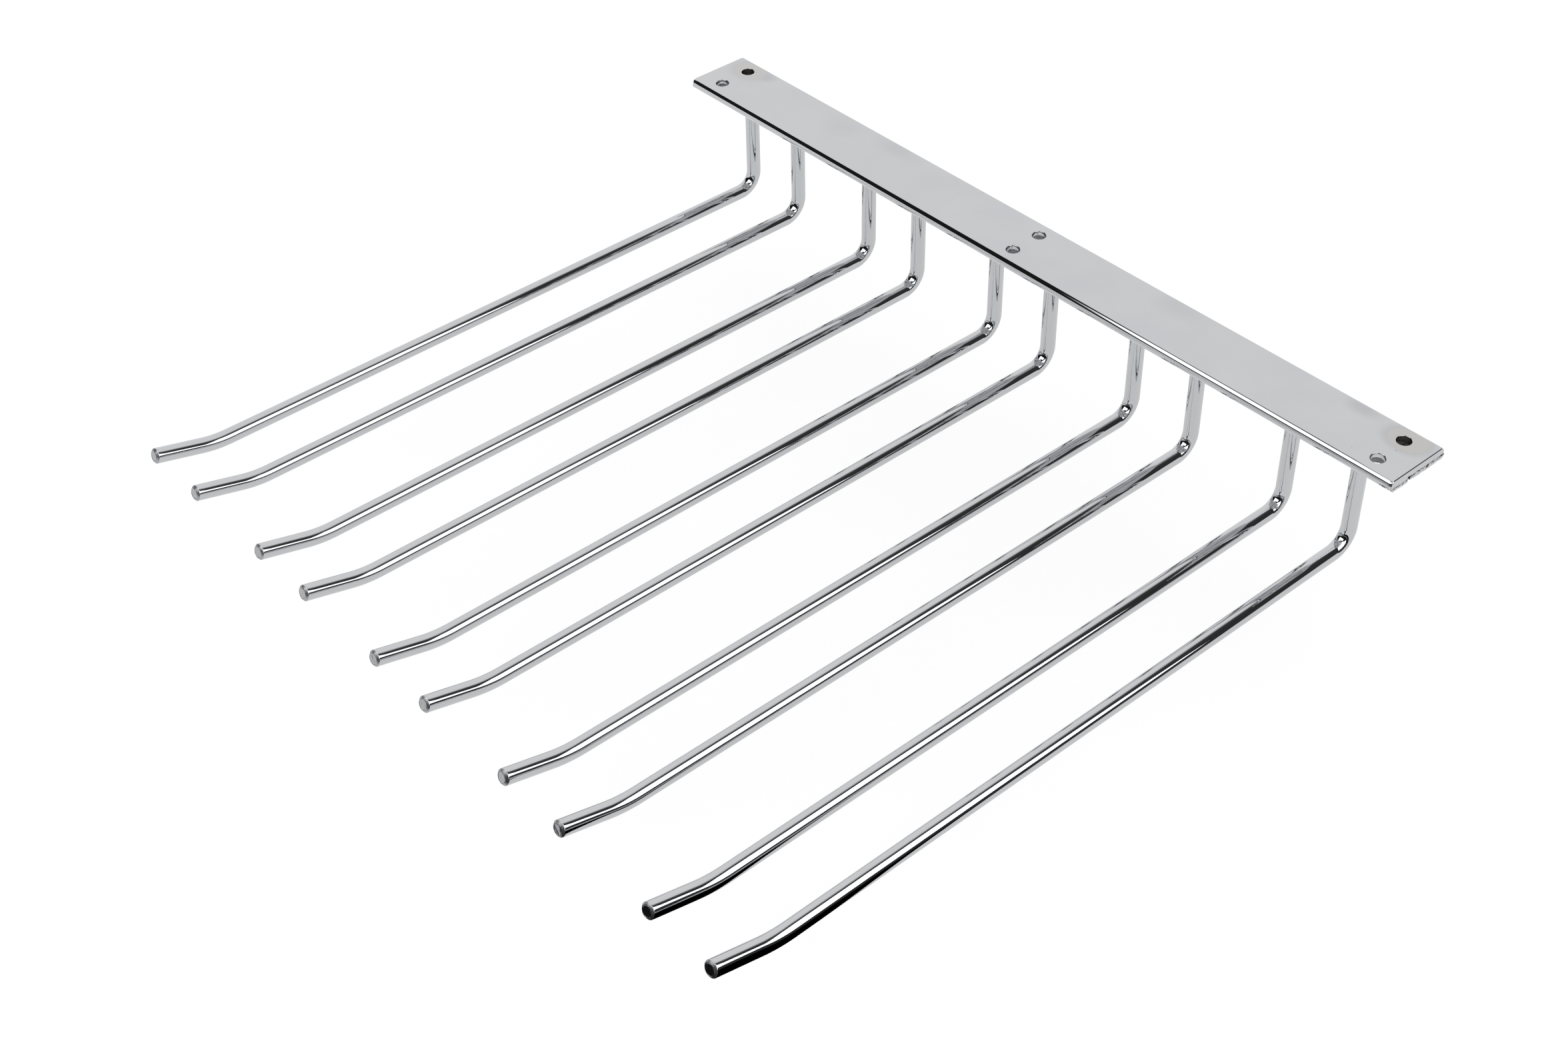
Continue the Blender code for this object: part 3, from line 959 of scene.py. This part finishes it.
class RACK_OT_rods(bpy.types.Operator):
    """Builds the ten bent rods, each from the weld under the bar to its upturned, chamfered tip."""

    bl_idname = "rack.rods"
    bl_label = "Rods"

    def execute(self, context):
        sizes, finish, _ = settings()
        material = chrome_on_rod(finish)
        face_plate = thin_plate(
            "thin_plate_on_sheared_rod_end", finish.thin_plate, finish.chrome, 0.2, 0.05 * MM)
        chamfer_plate = thin_plate(
            "thin_plate_on_turned_chamfer", finish.thin_plate, finish.chrome, 0.4, 0.03 * MM)
        for number, name in enumerate(ROD_NAMES):
            low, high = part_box(name)
            radius = (high.x - low.x) / 2
            points, uv = rod_grid(sizes, (low.x + high.x) / 2, high.z, low.z + radius, radius, number)
            rod = closed_mesh("plated_" + name, [(points, uv)], material, sharp=60)
            rod.data.materials.append(face_plate)
            rod.data.materials.append(chamfer_plate)
            picked = pick_rod_finishes(rod.data, sizes, radius, points[-1, 0])
            rod.data.polygons.foreach_set("material_index", picked)
            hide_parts(name)
            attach(rod, "root")
        return {"FINISHED"}


# The welds


WELD_SIDES = 96
# Power of the sine and the cosine that make the bead's section fuller than a circle's
WELD_FULLNESS = 1.15
# Share of the CAD bead's legs that the bead keeps, what wandering adds outwards and down, and what
# ripples add outwards and to the section's middle
WELD_SHARE, WELD_WANDER, WELD_SAG, WELD_RIPPLE, WELD_SWELL = 0.90, 0.08, 0.09, 0.03, 0.10
WELD_RIPPLES = 9


def weld_grid(x0, y0, top, inner, leg, height, seed):
    """A weld bead: a fillet turned about the rod, whose section is a sine and a cosine, each to a power.

    Noise and ripples change its legs round the rod, and the ripples swell the middle of the section.
    """
    around = np.linspace(0, 2 * math.pi, WELD_SIDES + 1)
    sweep = np.linspace(0, math.pi / 2, 15)
    wander = lumps(np.cos(around) * 5 * MM, np.sin(around) * 5 * MM, 3 * MM, 70 + seed)
    ripple = np.abs(np.sin(around * WELD_RIPPLES + wander))
    leg_out = leg * (WELD_SHARE + WELD_WANDER * wander + WELD_RIPPLE * ripple)
    shifted = np.roll(wander[:-1], 17)[np.arange(WELD_SIDES + 1) % WELD_SIDES]
    leg_down = height * (WELD_SHARE + WELD_SAG * shifted)
    swell = 1 + WELD_SWELL * ripple[None, :] * np.sin(2 * sweep)[:, None]
    out = np.cos(sweep)[:, None] ** WELD_FULLNESS * leg_out[None, :] * swell
    down = np.sin(sweep)[:, None] ** WELD_FULLNESS * leg_down[None, :] * swell
    closed = np.zeros((1, WELD_SIDES + 1))
    radius = np.concatenate([closed, out, closed]) + inner
    depth = np.concatenate([closed, down, closed])
    points = np.stack([
        x0 + radius * np.cos(around), y0 + radius * np.sin(around), top - depth], axis=2)
    points[:, -1] = points[:, 0]
    return points


class RACK_OT_welds(bpy.types.Operator):
    """Builds the ring of weld metal that joins each rod to the underside of the bar."""

    bl_idname = "rack.welds"
    bl_label = "Welds"

    def execute(self, context):
        _, finish, _ = settings()
        material = chrome_on_weld(finish)
        for number, name in enumerate(WELD_NAMES):
            low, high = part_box(name)
            rod_low, rod_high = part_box(name.replace("weld", "rod"))
            inner = (rod_high.x - rod_low.x) / 2 - 0.05 * MM
            leg = (high.x - low.x) / 2 - inner
            points = weld_grid((low.x + high.x) / 2, (low.y + high.y) / 2, high.z, inner, leg,
                               high.z - low.z, number)
            bead = closed_mesh("plated_" + name, [(points, None)], material, sharp=60)
            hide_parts(name)
            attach(bead, "root")
        return {"FINISHED"}


# The studio


CAMERA_PLACE = (0.5486026, -0.6017655, 0.5342867)
CAMERA_RIGHT = (0.6580684, 0.7527775, -0.0164928)
CAMERA_DOWN = (0.4784872, -0.4349993, -0.7627749)
CAMERA_AHEAD = (-0.5813742, 0.4940665, -0.6464537)

# Table: half its size, its paint from dark to light, and its own glow in reflections and to the camera;
# the lower glow in reflections is painted shade, the rack's shade on the table near it
TABLE_REACH, TABLE_PAINT, TABLE_GLOW_WITH_REFLECTED_SHADE = 4.0, (0.29, 0.33), (0.62, 0.73)
# Reflections show a dark floor in front of it: a point of its edge, the edge's angle to X, the corners
# along the edge and ahead of it, and how far it is lifted clear of the table
TABLE_END, TABLE_TURN = (0.193, -0.242), math.radians(42.6)
DARK_FLOOR, DARK_FLOOR_LIFT = ((-0.7, 0), (1.5, 0), (1.5, 1.2), (-0.7, 1.2)), 0.002

# Corners that the two right hand panels share
RIGHT_INNER, RIGHT_OUTER = (0.334, -0.203, 0.271), (0.563, 0.245, 0.162)
# Heights of the white ceiling, of its dimmer front part and of the dark room
CEILING, FRONT, FAR = 0.734, 1.0, 6
# Cards: name, corners, brightness or the setting that holds it, and how it fades: direction, start, end
# and last brightness. The panels and the ceiling come first, then the flag and the dark room
CARDS = (
    ("panel_right_back",
     (RIGHT_INNER, (0.273, -0.082, 0.534), (0.346, 0.161, 0.600), RIGHT_OUTER), "panel_light", None),
    ("panel_right_front", (RIGHT_INNER, RIGHT_OUTER, (0.967, -0.65, 0.201)), "panel_light", None),
    ("panel_left",
     ((-0.340, -0.643, 0.190), (-0.612, -0.248, 1.093), (-0.560, -0.205, 1.143), (-0.420, -0.183, 1.100),
      (-0.245, -0.230, 0.907), (-0.185, -0.218, 0.893), (-0.095, -0.324, 0.640), (0.050, -0.370, 0.467),
      (0.300, -0.326, 0.400), (0.320, -0.437, 0.180)),
     "room_shade", ((1, 0, 0.29), -0.280, -0.190, "panel_light")),
    ("ceiling",
     ((-0.115, -0.07, CEILING), (0.905, -0.07, CEILING), (1.433, 1.6, CEILING), (0.293, 1.6, CEILING),
      (-0.165, 0.15, CEILING)),
     1.0, ((1, -0.316, 0), -0.213, 0.187, 0.05)),
    ("ceiling_front",
     ((-0.3, -0.75, FRONT), (1.2, -0.75, FRONT), (1.2, 0.0, FRONT), (-0.3, 0.0, FRONT)), 0.45, None),
    ("flag_right",
     ((0.20, -0.65, 1.0), (0.62, 1.3, 1.0), (1.5, 0.9, -0.1), (1.5, -0.9, -0.1)), "flag_shade", None),
    ("far_roof",
     ((-8, -6, FAR), (6, -6, FAR), (6, -0.7, FAR), (1, -0.7, FAR), (1, 1.6, FAR), (-3.2, 1.6, FAR),
      (-5.7, -0.7, FAR), (-8, -1.7, FAR)),
     "room_shade", None),
    ("far_wall_left",
     ((-8, -1.7, 0.3), (-8, -6, 0.3), (-8, -6, FAR), (-8, -1.7, FAR)), "room_shade", None),
    ("far_wall_front",
     ((-8, -6, 0.3), (-1.5, -6, 0.25), (-1.5, -6, -0.1), (6, -6, -0.1), (6, -6, FAR), (-8, -6, FAR)),
     "room_shade", None),
    ("far_wall_right", ((6, -6, -0.1), (6, 0, -0.1), (6, 0, FAR), (6, -6, FAR)), "room_shade", None),
)


def flat_sheet(name, corners, material_name):
    """A flat polygon with a new material; returns the object and the material's empty node tree."""
    mesh = bpy.data.meshes.new(name)
    mesh.from_pydata(corners, [], [tuple(range(len(corners)))])
    sheet = bpy.data.objects.new(name, mesh)
    bpy.context.scene.collection.objects.link(sheet)
    material = bpy.data.materials.new(material_name)
    material.use_nodes = True
    material.node_tree.nodes.clear()
    mesh.materials.append(material)
    return sheet, material.node_tree


def glow_card(name, corners, shade, fade=None):
    """A flat card, seen only in reflections, that shows one even brightness.

    With a fade (direction, start, end, shade at the end) its brightness changes smoothly along it.
    """
    card, tree = flat_sheet(name, corners, name)
    glow = add_node(tree, "ShaderNodeEmission", {"Color": (1, 1, 1, 1), "Strength": shade})
    if fade:
        direction, start, end, last_shade = fade
        place = object_place(tree)
        along = add_node(
            tree, "ShaderNodeVectorMath", {"operation": "DOT_PRODUCT", 1: direction}, {0: place})
        strength = mapped(tree, along.outputs["Value"], start, end, shade, last_shade, "SMOOTHSTEP")
        tree.links.new(strength, glow.inputs["Strength"])
    add_node(tree, "ShaderNodeOutputMaterial", {}, {"Surface": glow.outputs[0]})
    for kind in ("camera", "diffuse", "shadow", "transmission", "volume_scatter"):
        setattr(card, "visible_" + kind, False)


def pale_floor(z):
    """Painted table top: white, with a soft trace of the shadow of what stands over it.

    Its underside lets the camera through, so that the rack can be looked at from below.
    """
    reach = TABLE_REACH
    corners = [(-reach, -reach, z), (reach, -reach, z), (reach, reach, z), (-reach, reach, z)]
    table, tree = flat_sheet("table_top", corners, "white_table_paint")
    place = object_place(tree)
    paint = mapped(tree, noise(tree, place, 9.0, 2.0), low=TABLE_PAINT[0], high=TABLE_PAINT[1])
    shaded = add_node(tree, "ShaderNodeBsdfDiffuse", {}, {"Color": paint})
    # Painted shade: a little dimmer in reflections, standing in for the shade that the rack casts on the
    # table near it
    seen = add_node(tree, "ShaderNodeLightPath").outputs["Is Camera Ray"]
    glow_with_painted_shade = mapped(tree, seen, low=TABLE_GLOW_WITH_REFLECTED_SHADE[0], high=TABLE_GLOW_WITH_REFLECTED_SHADE[1])
    glow = add_node(tree, "ShaderNodeEmission", {"Color": (1, 1, 1, 1)}, {"Strength": glow_with_painted_shade})
    both = add_node(tree, "ShaderNodeAddShader", {}, {0: shaded.outputs[0], 1: glow.outputs[0]})
    clear = add_node(tree, "ShaderNodeBsdfTransparent")
    below = add_node(tree, "ShaderNodeNewGeometry").outputs["Backfacing"]
    shown = add_node(
        tree, "ShaderNodeMixShader", {}, {0: below, 1: both.outputs[0], 2: clear.outputs[0]})
    add_node(tree, "ShaderNodeOutputMaterial", {}, {"Surface": shown.outputs[0]})


def white_world(scene):
    """White surroundings, which show wherever no card is."""
    world = bpy.data.worlds.new("white_surroundings")
    world.use_nodes = True
    background = world.node_tree.nodes["Background"]
    background.inputs["Color"].default_value = (1, 1, 1, 1)
    background.inputs["Strength"].default_value = 1.0
    scene.world = world


def add_camera(scene, focal_length):
    """The photograph's camera, from its place and the three directions of its picture."""
    data = bpy.data.cameras.new("camera")
    data.sensor_width = 36
    data.lens = focal_length
    data.clip_start = 0.01
    camera = bpy.data.objects.new("camera", data)
    scene.collection.objects.link(camera)
    axes = zip(CAMERA_RIGHT, CAMERA_DOWN, CAMERA_AHEAD)
    turned = Matrix([(right, -down, -ahead) for right, down, ahead in axes])
    camera.matrix_world = Matrix.Translation(CAMERA_PLACE) @ turned.to_4x4()
    scene.camera = camera


class RACK_OT_studio(bpy.types.Operator):
    """Sets up the white table, the white surroundings, the soft panels, black flags and the camera."""

    bl_idname = "rack.studio"
    bl_label = "Studio"

    def execute(self, context):
        _, _, studio = settings()
        scene = context.scene

        def brightness(value):
            """A brightness, given itself or as the name of the setting that holds it."""
            return getattr(studio, value) if isinstance(value, str) else value

        white_world(scene)
        floor = ROD_LOW.z - studio.floor_drop
        pale_floor(floor)
        for name, corners, shade, fade in CARDS:
            if fade:
                fade = (*fade[:3], brightness(fade[3]))
            glow_card(name, corners, brightness(shade), fade)
        start = np.array([*TABLE_END, floor + DARK_FLOOR_LIFT])
        edge = np.array([math.cos(TABLE_TURN), math.sin(TABLE_TURN), 0])
        ahead = np.array([edge[1], -edge[0], 0])
        glow_card("flag_front", [tuple(start + edge * a + ahead * b) for a, b in DARK_FLOOR], 0.0)
        scene.view_settings.view_transform = "Standard"
        add_camera(scene, studio.focal_length)
        return {"FINISHED"}


class RACK_PT_panel(bpy.types.Panel):
    """Lists the rack's pieces and settings."""

    bl_idname = "RACK_PT_panel"
    bl_label = "Wine glass rack"
    bl_space_type = "VIEW_3D"
    bl_region_type = "UI"
    bl_category = "Glass rack"

    def draw(self, context):
        for operator in PIECES:
            self.layout.operator(operator.bl_idname)
        for group in (context.scene.rack_sizes, context.scene.rack_finish, context.scene.rack_studio):
            for name in group.bl_rna.properties.keys():
                if name not in ("rna_type", "name"):
                    self.layout.prop(group, name)


GROUPS = (RackSizes, RackFinish, StudioSettings)
PIECES = (RACK_OT_bar, RACK_OT_rods, RACK_OT_welds, RACK_OT_studio)


def register():
    """Registers the settings, the operators and the panel."""
    for group in GROUPS + PIECES + (RACK_PT_panel,):
        bpy.utils.register_class(group)
    bpy.types.Scene.rack_sizes = bpy.props.PointerProperty(type=RackSizes)
    bpy.types.Scene.rack_finish = bpy.props.PointerProperty(type=RackFinish)
    bpy.types.Scene.rack_studio = bpy.props.PointerProperty(type=StudioSettings)


def unregister():
    """Removes what register added."""
    del bpy.types.Scene.rack_sizes
    del bpy.types.Scene.rack_finish
    del bpy.types.Scene.rack_studio
    for group in reversed(GROUPS + PIECES + (RACK_PT_panel,)):
        bpy.utils.unregister_class(group)


def main():
    register()
    bpy.ops.rack.bar()
    bpy.ops.rack.rods()
    bpy.ops.rack.welds()
    bpy.ops.rack.studio()


if __name__ == "__main__":
    main()
